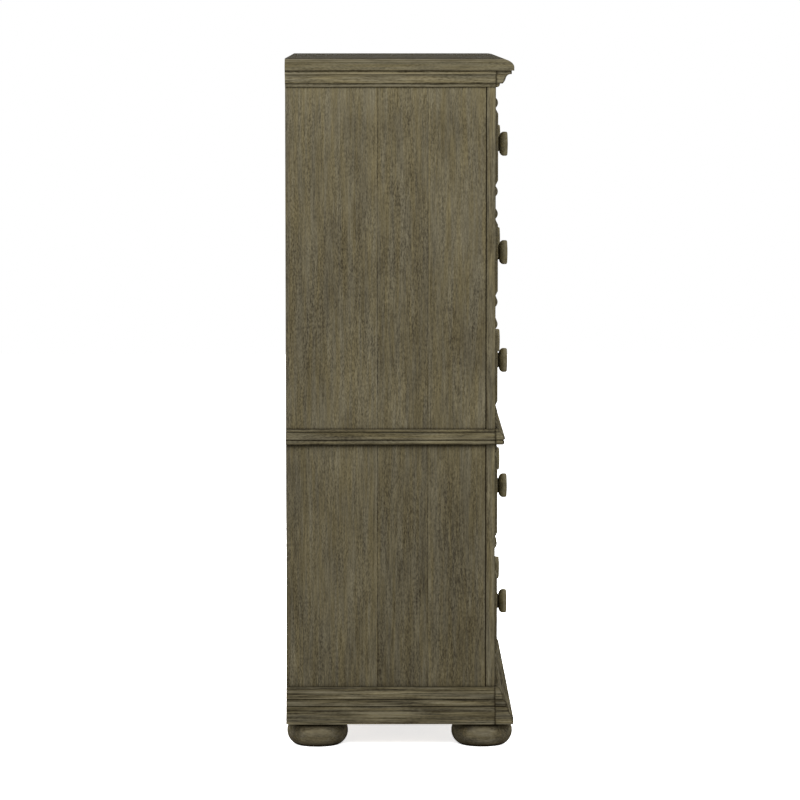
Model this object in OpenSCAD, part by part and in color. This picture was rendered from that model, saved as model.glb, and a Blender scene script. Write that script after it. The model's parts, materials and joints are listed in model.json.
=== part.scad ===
// Tall chest of five drawers: a veneered case with a wooden face frame, moulded top,
// cornice, waist and base mouldings, turned bun feet, dovetailed drawer boxes that hang
// on wooden runners, and two turned knobs on each drawer.
// The front faces -Y, the floor is Z = 0, and the origin is under the middle of the chest.

/* [Case] */
// Width over the two side panels
case_w = 943; // [800:1:1200]
// Depth from the back edge to the front of the face frame
case_d = 423; // [380:1:520]
// Thickness of a side panel
panel_t = 16; // [14:0.5:22]
// Thickness of the bottom board
bottom_t = 16; // [12:0.5:22]
// Thickness of the back sheet
back_t = 5; // [3:0.5:8]
// Width of the rabbet in each side panel that holds the back sheet
rabbet_w = 8; // [5:0.5:10]
// Size of the two chamfers that make the groove between side panel and stile
chamfer = 1; // [0.5:0.1:2]
// Side of the square cleats that hold the top board
cleat = 20; // [15:1:30]
// Leg of the triangular corner blocks above the feet
block_leg = 64; // [50:1:80]
// Height of the corner blocks
block_h = 32; // [25:1:45]

/* [Face frame] */
// Thickness of stiles and rails
frame_t = 19; // [16:0.5:25]
// Width of a stile
stile_w = 35; // [30:1:50]
// Height of the top rail
top_rail_h = 53; // [45:1:80]
// Height of the rails between the upper drawers
mid_rail_h = 20; // [18:0.5:35]
// Height of the rail at the waist
waist_rail_h = 49; // [40:1:70]
// Height of the rail between the lower drawers
low_rail_h = 22; // [18:0.5:35]
// Height of the bottom rail
bottom_rail_h = 105; // [90:1:140]
// Thickness of the rail tenons
tenon_t = 8; // [6:0.5:10]
// Length of the rail tenons
tenon_l = 14; // [8:1:20]

/* [Top board] */
// Thickness of the top board
top_t = 24; // [20:0.5:32]
// Overhang of the top board past the case, on the front and the sides
top_over = 35.5; // [33:0.5:50]
// Width of the rounded edge
edge_w = 30; // [20:1:50]
// Drop of the rounded edge
edge_drop = 17.5; // [10:0.5:19]

/* [Mouldings] */
// Height of the cornice under the top
cornice_h = 33.5; // [30:0.5:42]
// Projection of the cornice
cornice_out = 30.6; // [28:0.1:33]
// Height of the waist moulding
waist_h = 30; // [26:0.5:36]
// Projection of the waist moulding
waist_out = 19.6; // [16:0.1:26]
// Height of the base moulding
base_h = 71.5; // [64:0.5:85]
// Projection of the base moulding
base_out = 36.8; // [33:0.1:45]

/* [Feet] */
// Height of a foot
foot_h = 49; // [44:1:70]
// Largest diameter of a foot
foot_d = 124; // [110:1:140]
// Radius of the rounded side of a foot
bun_r = 30.7; // [28:0.1:34]
// Height of the widest place of a foot
bun_z = 27.5; // [25:0.5:30]
// Distance of the feet from the outer edges of the base
foot_inset = 0.6; // [0.5:0.1:5]
// Diameter of the hanger bolt in each foot
bolt_d = 8; // [6:0.5:10]
// Depth of the bolt in the foot
bolt_in_foot = 32; // [20:1:38]

/* [Drawers] */
// Height of the three upper drawer fronts
upper_h = 199.5; // [170:0.5:260]
// Height of the two lower drawer fronts
lower_h = 216; // [180:0.5:280]
// Thickness of a drawer front at its raised field
front_t = 22; // [20:0.5:28]
// Height of the raised field above the face frame
field_out = 5.7; // [4:0.1:7]
// Width of the round bead along the top and bottom edges
bead_w = 21; // [16:0.5:26]
// Height of that bead
bead_h = 5.3; // [3:0.1:6]
// Width of the bevel between bead and field
bevel_w = 11.5; // [8:0.5:20]
// Thickness of the drawer sides
side_t = 14; // [12:0.5:18]
// Thickness of the drawer back
box_back_t = 12; // [10:0.5:16]
// Thickness of the drawer bottom
box_bottom_t = 5; // [4:0.5:6]
// Distance of the box top below the top of the front
box_drop = 20; // [14:1:40]
// Distance of the box bottom above the bottom of the front
box_rise = 8; // [6:1:14]
// Distance of the drawer bottom above the lower edge of the box
bottom_up = 9; // [7:0.5:14]
// Depth of the grooves that hold the drawer bottom
groove_d = 6; // [4:0.5:6]
// Width of the lip of the front past the box at each end
lip_w = 3.5; // [2:0.5:6]
// Free space behind the drawer box
space_behind = 24; // [10:1:60]

/* [Dovetails] */
// Number of tails at each corner of a drawer
tails = 6; // [4:1:8]
// Length of the tails in the drawer front
tail_l = 10; // [8:0.5:12]
// Width of a tail at its end, as a share of the spacing
tail_share = 0.66; // [0.6:0.01:0.72]
// Slope of the tail sides in degrees
tail_angle = 9; // [6:0.5:10]

/* [Runners] */
// Height of a runner
runner_h = 18; // [14:1:22]
// Depth of the groove in the drawer side
runner_in = 7; // [5:0.5:8]
// Distance of the runner's front end behind the face frame
runner_back = 14; // [8:1:30]

/* [Knobs] */
// Distance between the two knobs of a drawer
knob_apart = 512; // [400:1:560]
// Height of the knobs above the middle of the front
knob_up = 1; // [-5:0.5:10]
// Diameter of a knob
knob_d = 49.5; // [38:0.5:56]
// Thickness of the knob's head, from the narrowest place of the neck
knob_head = 17.6; // [14:0.1:18]
// Reach of a knob from the drawer front
knob_out = 25; // [22:0.1:32]
// Diameter of the knob where it meets the drawer front
knob_foot_d = 34.5; // [31:0.5:38]
// Diameter of the knob's neck
neck_d = 29.5; // [20:0.5:30]
// Width of the knob's rounded rim
rim_r = 5; // [3:0.5:6]
// Rise of the knob's domed face above its rim
face_crown = 1.4; // [0.5:0.1:2]
// Diameter of the knob screw
screw_d = 4; // [3.5:0.5:5]
// Depth of the knob screw in the knob
screw_in = 15; // [10:1:18]

/* [Fit] */
// Gap round a drawer front
reveal = 2; // [1.5:0.1:3]
// Gap between a runner and its groove
runner_gap = 0.4; // [0.3:0.05:0.6]
// Glue gap in the dovetails and tenons
glue_gap = 0.1; // [0.05:0.05:0.2]
// Gap round sheets, bolts and screws
loose_gap = 0.3; // [0.2:0.05:0.5]

/* [Hidden] */

$fn = 64;
stain = [0.40, 0.37, 0.29];
stain_dark = [0.35, 0.32, 0.25];
raw_wood = [0.72, 0.60, 0.43];
ply = [0.66, 0.52, 0.36];
steel = [0.62, 0.62, 0.62];
more = 1; // how far a cutter runs past what it cuts

// Depth: the base moulding is the front, the case the back
depth = case_d + base_out;
y_front = base_out - depth / 2;
y_back = depth / 2;
y_behind_frame = y_front + frame_t;

// Width
half_w = case_w / 2;
half_inside = half_w - panel_t;
half_opening = half_w - stile_w;
half_front = half_opening - reveal;
half_box = half_front - lip_w;
half_box_inside = half_box - side_t;

// Height, from the floor up, with the drawers counted from the top down
upper_opening = upper_h + 2 * reveal;
lower_opening = lower_h + 2 * reveal;
z_case = foot_h;
z_open_5 = z_case + bottom_rail_h;
z_open_4 = z_open_5 + lower_opening + low_rail_h;
z_waist_rail = z_open_4 + lower_opening;
z_open_3 = z_waist_rail + waist_rail_h;
z_open_2 = z_open_3 + upper_opening + mid_rail_h;
z_open_1 = z_open_2 + upper_opening + mid_rail_h;
z_top_rail = z_open_1 + upper_opening;
z_case_top = z_top_rail + top_rail_h;
z_open = [z_open_1, z_open_2, z_open_3, z_open_4, z_open_5];
case_h = z_case_top - z_case;

// Feet
foot_r = foot_d / 2;
foot_x = half_w + base_out - foot_inset - foot_r;
foot_y = depth / 2 - foot_inset - foot_r;

// Drawer boxes
y_front_back = y_front - field_out + front_t;
y_box_end = y_back - back_t - space_behind;
y_box_back = y_box_end - box_back_t;
y_runner = y_behind_frame + runner_back;
y_runner_end = y_back - back_t;
field_z = bead_w + bevel_w;

function front_h(i) = i <= 3 ? upper_h : lower_h;
function front_z(i) = z_open[i - 1] + reveal;
function box_z(i) = front_z(i) + box_rise;
function box_h(i) = front_h(i) - box_rise - box_drop;
function knob_z(i) = front_z(i) + front_h(i) / 2 + knob_up;
function runner_z(i) = box_z(i) + (box_h(i) - runner_h) / 2;

// Points of a circular arc from p to q that stands sag away from the chord, to its right,
// without the first point
function bow(p, q, sag, steps = 6) =
    let(chord = q - p, along = chord / norm(chord), right = [along.y, -along.x],
        half = 2 * atan(2 * sag / norm(chord)),
        r = norm(chord) / 2 / sin(half), centre = (p + q) / 2 + right * (sag - r))
    [for (k = [1:steps]) let(a = half * (2 * k / steps - 1))
        centre + r * (right * cos(a) + along * sin(a))];

// Outlines of the mouldings, with x the distance out from the case and y the height
function cornice_outline() =
    let(bead = [7.6, 7], step = [12.6, 7.4], turn = [19, cornice_h - 15],
        fillet = [cornice_out - 1, cornice_h - 7])
    concat([[0, 0], [1, 0]], bow([1, 0], bead, 2.2), [[bead.x, step.y], step],
        bow(step, turn, 0.9), bow(turn, fillet, -2.4),
        [[cornice_out, fillet.y + 0.6], [cornice_out, cornice_h], [0, cornice_h]]);

function waist_outline() =
    let(bead_out = waist_out - 1.6, groove = [waist_out - 3.6, 10.2],
        nose = [waist_out, groove.y + 2.6], ledge = [7.4, waist_h - 6.2],
        fillet = [6.2, ledge.y + 1.4])
    concat([[0, 0], [bead_out - 3.4, 0]],
        bow([bead_out - 3.4, 0], [bead_out - 3, groove.y - 0.9], 3.2, 8),
        [groove, [waist_out - 1, groove.y + 0.6], nose],
        bow(nose, ledge, 3.2, 8), [[ledge.x - 2, ledge.y + 0.4], fillet],
        bow(fillet, [fillet.x - 1.4, waist_h], 0.6, 3), [[0, waist_h]]);

function base_outline() =
    let(plinth = [base_out, 13], lower = [base_out - 12, 33.4], quirk = [lower.x - 2.6, 34.6],
        upper = [lower.x - 6.6, 47.4], ledge = [9.6, base_h - 1.4])
    concat([[0, 0], plinth - [0, plinth.y], plinth],
        bow(plinth, plinth + [-2.6, 5], 0.6, 3),
        bow(plinth + [-2.6, 5], [lower.x + 3.4, lower.y - 6.4], -1.1),
        bow([lower.x + 3.4, lower.y - 6.4], lower, 1.2),
        [quirk, [lower.x - 0.8, quirk.y + 1.2]],
        bow([lower.x - 0.8, quirk.y + 1.2], upper, 2.2),
        [[upper.x - 2.4, upper.y + 0.8], [upper.x - 0.6, upper.y + 2]],
        bow([upper.x - 0.6, upper.y + 2], ledge, 1.6), bow(ledge, [7.4, base_h], 0.5, 3),
        [[0, base_h]]);

// Outline of the top board's edge: a quarter ellipse over a short upright face
function edge_outline(steps = 14) =
    concat([[top_over, 0]],
        [for (k = [0:steps]) let(a = 90 * k / steps)
            [top_over - edge_w * (1 - cos(a)), top_t - edge_drop * (1 - sin(a))]]);

// Outline of a drawer front, with x the distance out from the face frame and y the height
function front_outline(h) =
    let(back = field_out - front_t)
    concat([[back, 0], [0, 0]], bow([0, 0], [0, bead_w], bead_h, 10),
        [[field_out, field_z], [field_out, h - field_z], [0, h - bead_w]],
        bow([0, h - bead_w], [0, h], bead_h, 10), [[back, h]]);

// Extrudes an outline of (distance to the front, height) along X over the given width
module along_x(width) {
    translate([-width / 2, 0, 0])
        rotate([90, 0, 90])
            linear_extrude(width)
                mirror([1, 0])
                    children();
}

// Extrudes an outline of (X, height) from one Y to another
module along_y(from, to) {
    translate([0, to, 0])
        rotate([90, 0, 0])
            linear_extrude(to - from)
                children();
}

// Front length of a moulding, with its own profile returned across both ends
module front_moulding(outline, z) {
    reach = max([for (p = outline) p.x]);
    wide = case_w + 2 * reach;
    translate([0, 0, z])
        intersection() {
            translate([0, y_front, 0])
                along_x(wide)
                    polygon(outline);
            along_y(y_front - reach - more, y_front)
                polygon(concat([for (p = outline) p + [half_w, 0]],
                    [for (k = [len(outline) - 1:-1:0]) [-half_w - outline[k].x, outline[k].y]]));
        }
}

// Side length of a moulding, from the back of the case to the front length
module side_moulding(outline, z, side) {
    translate([0, 0, z])
        along_y(y_front, y_back)
            polygon([for (p = outline) [side * (half_w + p.x), p.y]]);
}

// Top board with the same edge on the front and both sides, square at the back
module top_panel() {
    color(stain_dark)
        translate([0, 0, z_case_top])
            intersection() {
                translate([0, y_front, 0])
                    along_x(case_w + 2 * top_over)
                        polygon(concat([[-case_d, 0]], edge_outline(), [[-case_d, top_t]]));
                along_y(y_front - top_over - more, y_back)
                    polygon(concat([for (p = edge_outline()) p + [half_w, 0]],
                        [for (k = [len(edge_outline()) - 1:-1:0])
                            [-half_w - edge_outline()[k].x, edge_outline()[k].y]]));
            }
}

module cornice_front() {
    color(stain)
        front_moulding(cornice_outline(), z_case_top - cornice_h);
}

module cornice_left() {
    color(stain)
        side_moulding(cornice_outline(), z_case_top - cornice_h, -1);
}

module cornice_right() {
    color(stain)
        side_moulding(cornice_outline(), z_case_top - cornice_h, 1);
}

module waist_front() {
    color(stain)
        front_moulding(waist_outline(), z_waist_rail);
}

module waist_left() {
    color(stain)
        side_moulding(waist_outline(), z_waist_rail, -1);
}

module waist_right() {
    color(stain)
        side_moulding(waist_outline(), z_waist_rail, 1);
}

module base_front() {
    color(stain_dark)
        front_moulding(base_outline(), z_case);
}

module base_left() {
    color(stain_dark)
        side_moulding(base_outline(), z_case, -1);
}

module base_right() {
    color(stain_dark)
        side_moulding(base_outline(), z_case, 1);
}

// Side panel with a chamfered front arris and a rabbet for the back sheet
module side_panel(side) {
    color(stain)
        translate([0, 0, z_case])
            linear_extrude(case_h)
                polygon([
                    [side * half_inside, y_behind_frame],
                    [side * (half_w - chamfer), y_behind_frame],
                    [side * half_w, y_behind_frame + chamfer],
                    [side * half_w, y_back],
                    [side * (half_inside + rabbet_w), y_back],
                    [side * (half_inside + rabbet_w), y_back - back_t],
                    [side * half_inside, y_back - back_t]
                ]);
}

module side_panel_left() side_panel(-1);

module side_panel_right() side_panel(1);

// Tenon of a rail at one end, grown by gap for the mortise
module tenon(z, h, side, gap) {
    long = tenon_l + gap;
    thick = tenon_t + 2 * gap;
    tall = h * 0.6 + 2 * gap;
    translate([side > 0 ? half_opening - more : -half_opening - long,
               y_front + (frame_t - thick) / 2, z + (h - tall) / 2])
        cube([long + more, thick, tall]);
}

rails = [
    [z_top_rail, top_rail_h],
    [z_open_1 - mid_rail_h, mid_rail_h],
    [z_open_2 - mid_rail_h, mid_rail_h],
    [z_waist_rail, waist_rail_h],
    [z_open_4 - low_rail_h, low_rail_h],
    [z_case, bottom_rail_h]
];

// Stile with a mortise for each rail and eased outer arrises
module stile(side) {
    color(stain)
        difference() {
            translate([0, 0, z_case])
                linear_extrude(case_h)
                    polygon([
                        [side * half_opening, y_front],
                        [side * (half_w - chamfer / 2), y_front],
                        [side * half_w, y_front + chamfer / 2],
                        [side * half_w, y_behind_frame - chamfer],
                        [side * (half_w - chamfer), y_behind_frame],
                        [side * half_opening, y_behind_frame]
                    ]);
            for (r = rails)
                tenon(r[0], r[1], side, glue_gap);
        }
}

module stile_left() stile(-1);

module stile_right() stile(1);

// Rail of the face frame with a stub tenon at each end
module rail(number) {
    z = rails[number][0];
    h = rails[number][1];
    color(stain)
        union() {
            translate([-half_opening, y_front, z])
                cube([2 * half_opening, frame_t, h]);
            tenon(z, h, -1, 0);
            tenon(z, h, 1, 0);
        }
}

module top_rail() rail(0);

module rail_below_drawer_1() rail(1);

module rail_below_drawer_2() rail(2);

module waist_rail() rail(3);

module rail_below_drawer_4() rail(4);

module bottom_rail() rail(5);

// Back sheet in the rabbets of the side panels
module back_sheet() {
    half = half_inside + rabbet_w - loose_gap;
    color(ply)
        translate([-half, y_back - back_t, z_case])
            cube([2 * half, back_t, case_h]);
}

// Bottom board between the side panels, drilled for the foot bolts
module bottom_board() {
    color(ply)
        difference() {
            translate([-half_inside, y_behind_frame, z_case])
                cube([2 * half_inside, y_runner_end - y_behind_frame, bottom_t]);
            at_feet()
                cylinder(d = bolt_d + 2 * loose_gap, h = z_case + bottom_t + more);
        }
}

// Ten runners, one on each side of each drawer, glued to the side panels
module drawer_runners() {
    inner = half_box - runner_in + runner_gap;
    color(raw_wood)
        for (i = [1:5], side = [0, 1])
            mirror([side, 0, 0])
                translate([inner, y_runner, runner_z(i)])
                    cube([half_inside - inner, y_runner_end - y_runner, runner_h]);
}

// Cleats under the top board along the sides and the back
module top_cleats() {
    y = y_behind_frame;
    long = y_runner_end - y;
    half_back = half_inside - cleat - loose_gap;
    color(raw_wood) {
        for (side = [0, 1])
            mirror([side, 0, 0])
                translate([half_inside - cleat, y, z_case_top - cleat])
                    cube([cleat, long, cleat]);
        translate([-half_back, y_runner_end - cleat, z_case_top - cleat])
            cube([2 * half_back, cleat, cleat]);
    }
}

// Triangular blocks in the four lower corners, drilled for the foot bolts
module corner_blocks() {
    color(raw_wood)
        difference() {
            for (side = [0, 1], end = [0, 1])
                mirror([side, 0, 0])
                    translate([half_inside, end == 0 ? y_behind_frame : y_runner_end,
                               z_case + bottom_t])
                        linear_extrude(block_h)
                            polygon(end == 0 ? [[0, 0], [0, block_leg], [-block_leg, 0]]
                                : [[0, 0], [-block_leg, 0], [0, -block_leg]]);
            at_feet()
                cylinder(d = bolt_d + 2 * loose_gap, h = z_case + bottom_t + block_h + more);
        }
}

// Puts a copy of its children at the axis of every foot
module at_feet() {
    for (x = [-foot_x, foot_x], y = [-foot_y, foot_y])
        translate([x, y, 0])
            children();
}

// Turned bun foot with a blind hole for its bolt
module foot(x, y) {
    ring = foot_r - bun_r;
    color(stain_dark)
        translate([x, y, 0])
            difference() {
                rotate_extrude($fn = 96)
                    intersection() {
                        square([foot_r + more, foot_h]);
                        union() {
                            translate([ring, bun_z])
                                circle(bun_r, $fn = 96);
                            square([ring, foot_h]);
                        }
                    }
                translate([0, 0, foot_h - bolt_in_foot - loose_gap])
                    cylinder(d = bolt_d + 2 * loose_gap, h = bolt_in_foot + loose_gap + more);
            }
}

module foot_front_left() foot(-foot_x, -foot_y);

module foot_front_right() foot(foot_x, -foot_y);

module foot_back_left() foot(-foot_x, foot_y);

module foot_back_right() foot(foot_x, foot_y);

// Hanger bolts that hold the feet to the bottom board and corner blocks
module foot_bolts() {
    color(steel)
        at_feet()
            translate([0, 0, foot_h - bolt_in_foot])
                cylinder(d = bolt_d, h = bolt_in_foot + bottom_t + block_h);
}

// Tails of a drawer side in the plane of that side: from is the shoulder, way the end
// that they point to, and gap what a socket is larger all round
module tail_row(from, long, way, z, h, gap) {
    pitch = h / tails;
    wide = pitch * tail_share;
    narrow = wide - 2 * long * tan(tail_angle);
    for (k = [0:tails - 1])
        translate([0, from, z + pitch * (k + 0.5)])
            polygon_yz([
                [-way * more, -narrow / 2 - gap], [0, -narrow / 2 - gap],
                [way * (long + gap), -wide / 2 - gap], [way * (long + gap), wide / 2 + gap],
                [0, narrow / 2 + gap], [-way * more, narrow / 2 + gap]
            ], gap);
}

// Plate through the thickness of the right-hand drawer side, from an outline in (Y, Z)
module polygon_yz(outline, gap) {
    translate([half_box_inside - gap, 0, 0])
        rotate([90, 0, 90])
            linear_extrude(side_t + (gap > 0 ? gap + lip_w + more : 0))
                polygon(outline);
}

// Lower edge and height of the drawer back, which stands on the drawer bottom
function back_z(i) = box_z(i) + bottom_up + box_bottom_t + loose_gap;
function back_h(i) = box_z(i) + box_h(i) - back_z(i);

// Groove for the runner, from the front end of the runner to the back of the box
module runner_groove(i) {
    translate([half_box - runner_in, y_runner - runner_gap, runner_z(i) - runner_gap])
        cube([runner_in + more, y_box_end - y_runner + runner_gap + more,
              runner_h + 2 * runner_gap]);
}

// Groove for the drawer bottom in the sides and the front
module bottom_groove(i) {
    half = half_box_inside + groove_d;
    translate([-half, y_front_back - groove_d, box_z(i) + bottom_up])
        cube([2 * half, y_box_end - y_front_back + groove_d + more,
              box_bottom_t + loose_gap]);
}

// Drawer front: beads and raised field in front, lips at the ends, sockets for the tails,
// the groove for the bottom and two screw holes
module drawer_front(i) {
    color(stain)
        difference() {
            translate([0, y_front, front_z(i)])
                along_x(2 * half_front)
                    polygon(front_outline(front_h(i)));
            for (side = [0, 1])
                mirror([side, 0, 0]) {
                    translate([half_box, y_front_back - tail_l - glue_gap, front_z(i) - more])
                        cube([lip_w + more, tail_l + glue_gap + more, front_h(i) + 2 * more]);
                    tail_row(y_front_back, tail_l, -1, box_z(i), box_h(i), glue_gap);
                    translate([knob_apart / 2, y_front_back + more, knob_z(i)])
                        rotate([90, 0, 0])
                            cylinder(d = screw_d + loose_gap, h = front_t + 2 * more);
                }
            bottom_groove(i);
        }
}

// Two drawer sides with tails at both ends and grooves for bottom and runner
module drawer_sides(i) {
    tall = box_h(i);
    color(raw_wood)
        for (side = [0, 1])
            mirror([side, 0, 0])
                difference() {
                    union() {
                        translate([half_box_inside, y_front_back, box_z(i)])
                            cube([side_t, y_box_back - y_front_back, tall]);
                        translate([half_box_inside, y_front_back, box_z(i)])
                            cube([side_t, y_box_end - y_front_back, back_z(i) - box_z(i)]);
                        tail_row(y_front_back, tail_l, -1, box_z(i), tall, 0);
                        tail_row(y_box_back, box_back_t, 1, back_z(i), back_h(i), 0);
                    }
                    runner_groove(i);
                    bottom_groove(i);
                }
}

// Drawer back between the sides, with sockets for the tails
module drawer_back(i) {
    color(raw_wood)
        difference() {
            translate([-half_box, y_box_back, back_z(i)])
                cube([2 * half_box, box_back_t, back_h(i)]);
            for (side = [0, 1])
                mirror([side, 0, 0]) {
                    tail_row(y_box_back, box_back_t, 1, back_z(i), back_h(i), glue_gap);
                    runner_groove(i);
                }
        }
}

// Drawer bottom, slid in from the back under the drawer back
module drawer_bottom(i) {
    half = half_box_inside + groove_d - loose_gap;
    y = y_front_back - groove_d + loose_gap;
    color(ply)
        translate([-half, y, box_z(i) + bottom_up])
            cube([2 * half, y_box_end - y, box_bottom_t]);
}

// Puts its children, made along Z, at both knobs of a drawer, pointing to the front
module at_knobs(i) {
    for (x = [-knob_apart / 2, knob_apart / 2])
        translate([x, y_front - field_out, knob_z(i)])
            rotate([90, 0, 0])
                children();
}

// Outline of a knob, with x the radius and y the distance out from the drawer front: a foot
// ring, a narrow neck and a mushroom head with a rounded rim and a domed face
function knob_outline() =
    let(foot = knob_foot_d / 2, neck = neck_d / 2, r = knob_d / 2, back = knob_out - knob_head,
        ring = [foot, back * 0.45], flare = [neck + 1.4, back + 2.9],
        rim = [r, knob_out - rim_r - 0.5], face = [r - rim_r, knob_out - face_crown])
    concat([[0, 0], [foot, 0], ring], bow(ring, flare, neck - (foot + flare.x) / 2, 6),
        bow(flare, rim, 2, 8), bow(rim, face, rim_r * 0.18, 6),
        [for (p = bow(face, [0, knob_out], face_crown / 4, 4)) [max(p.x, 0), p.y]]);

module drawer_knobs(i) {
    color(stain_dark)
        at_knobs(i)
            difference() {
                rotate_extrude($fn = 96)
                    polygon(knob_outline());
                translate([0, 0, -more])
                    cylinder(d = screw_d + loose_gap, h = screw_in + loose_gap + more);
            }
}

// Screws from inside the drawer front into the knobs
module drawer_screws(i) {
    head_h = screw_d * 0.6;
    color(steel)
        at_knobs(i)
            translate([0, 0, -front_t - head_h]) {
                cylinder(d = screw_d * 2.1, h = head_h);
                cylinder(d = screw_d, h = head_h + front_t + screw_in);
            }
}

module drawer_1_front() drawer_front(1);
module drawer_1_sides() drawer_sides(1);
module drawer_1_back() drawer_back(1);
module drawer_1_bottom() drawer_bottom(1);
module drawer_1_knobs() drawer_knobs(1);
module drawer_1_screws() drawer_screws(1);
module drawer_2_front() drawer_front(2);
module drawer_2_sides() drawer_sides(2);
module drawer_2_back() drawer_back(2);
module drawer_2_bottom() drawer_bottom(2);
module drawer_2_knobs() drawer_knobs(2);
module drawer_2_screws() drawer_screws(2);
module drawer_3_front() drawer_front(3);
module drawer_3_sides() drawer_sides(3);
module drawer_3_back() drawer_back(3);
module drawer_3_bottom() drawer_bottom(3);
module drawer_3_knobs() drawer_knobs(3);
module drawer_3_screws() drawer_screws(3);
module drawer_4_front() drawer_front(4);
module drawer_4_sides() drawer_sides(4);
module drawer_4_back() drawer_back(4);
module drawer_4_bottom() drawer_bottom(4);
module drawer_4_knobs() drawer_knobs(4);
module drawer_4_screws() drawer_screws(4);
module drawer_5_front() drawer_front(5);
module drawer_5_sides() drawer_sides(5);
module drawer_5_back() drawer_back(5);
module drawer_5_bottom() drawer_bottom(5);
module drawer_5_knobs() drawer_knobs(5);
module drawer_5_screws() drawer_screws(5);

top_panel();
cornice_front();
cornice_left();
cornice_right();
waist_front();
waist_left();
waist_right();
base_front();
base_left();
base_right();
side_panel_left();
side_panel_right();
stile_left();
stile_right();
top_rail();
rail_below_drawer_1();
rail_below_drawer_2();
waist_rail();
rail_below_drawer_4();
bottom_rail();
back_sheet();
bottom_board();
drawer_runners();
top_cleats();
corner_blocks();
foot_front_left();
foot_front_right();
foot_back_left();
foot_back_right();
foot_bolts();
drawer_1_front();
drawer_1_sides();
drawer_1_back();
drawer_1_bottom();
drawer_1_knobs();
drawer_1_screws();
drawer_2_front();
drawer_2_sides();
drawer_2_back();
drawer_2_bottom();
drawer_2_knobs();
drawer_2_screws();
drawer_3_front();
drawer_3_sides();
drawer_3_back();
drawer_3_bottom();
drawer_3_knobs();
drawer_3_screws();
drawer_4_front();
drawer_4_sides();
drawer_4_back();
drawer_4_bottom();
drawer_4_knobs();
drawer_4_screws();
drawer_5_front();
drawer_5_sides();
drawer_5_back();
drawer_5_bottom();
drawer_5_knobs();
drawer_5_screws();
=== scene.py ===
# %% [markdown]
# A tall chest of five drawers in a weathered grey-brown stain, seen from its left side.
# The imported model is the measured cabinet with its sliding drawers. This lesson dresses it:
# the top, the mouldings, the feet and the knobs become finer surfaces, every board gets its
# wood, and a camera and plain studio light are set up. The CAD model's box is kept first,
# because the dressed chest may not grow past it.

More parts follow.
